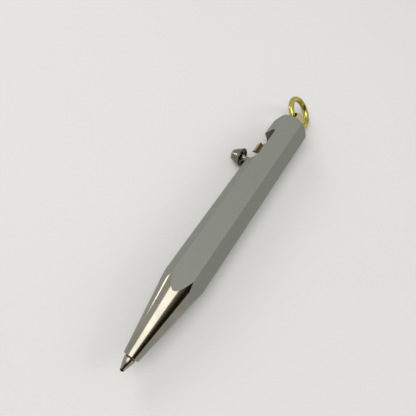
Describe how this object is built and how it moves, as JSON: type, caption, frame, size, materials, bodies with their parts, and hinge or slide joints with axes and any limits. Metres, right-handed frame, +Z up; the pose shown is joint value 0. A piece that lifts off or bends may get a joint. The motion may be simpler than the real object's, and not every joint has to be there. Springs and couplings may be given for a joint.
{
  "type": "keychain ballpoint pen",
  "caption": "Six-sided metal keychain pen with a tapered nose, a side bolt that slides the refill along a milled track, and a brass ring through the tail.",
  "frame": {"origin": "middle of the barrel's length, on the flat that the pen lies on", "axes": "+X along the barrel from the nose to the key ring, +Y to the side that the bolt stands out of, +Z up out of the opposite flat"},
  "size_m": [0.0895, 0.0154, 0.009],
  "materials": {
    "blasted_titanium": "fine bead-blasted titanium grey on the flats, bright turned ends",
    "polished_titanium": "turned and polished",
    "slider_brass": "turned",
    "refill_nickel": "drawn tube",
    "point_nickel": "turned and polished",
    "ball_carbide": "ground, wet with black ink",
    "ink": "black ballpoint ink",
    "follower_grease": "clear yellowish grease",
    "ring_brass": "polished round wire"
  },
  "bodies": {
    "barrel": {"barrel": "blasted_titanium"},
    "refill": {"refill_tube": "refill_nickel", "refill_point": "point_nickel", "writing_ball": "ball_carbide", "ink_column": "ink", "ink_follower": "follower_grease"},
    "bolt": {"bolt_slider": "slider_brass", "bolt_handle": "polished_titanium"},
    "key_ring": {"key_ring": "ring_brass"}
  },
  "joints": [
    {"name": "refill_slide", "type": "slide", "parent": "barrel", "child": "refill", "axis": [1, 0, 0], "range_m": [0, 0.008]},
    {"name": "bolt_turn", "type": "hinge", "parent": "refill", "child": "bolt", "pos_m": [0.01835, 0, 0.0045], "axis": [1, 0, 0], "range_deg": [0, 59]},
    {"name": "key_ring_swing", "type": "hinge", "parent": "barrel", "child": "key_ring", "pos_m": [0.03735, 0, 0.0045], "axis": [0, 0.7314, 0.682], "range_deg": [-134, 110]}
  ]
}
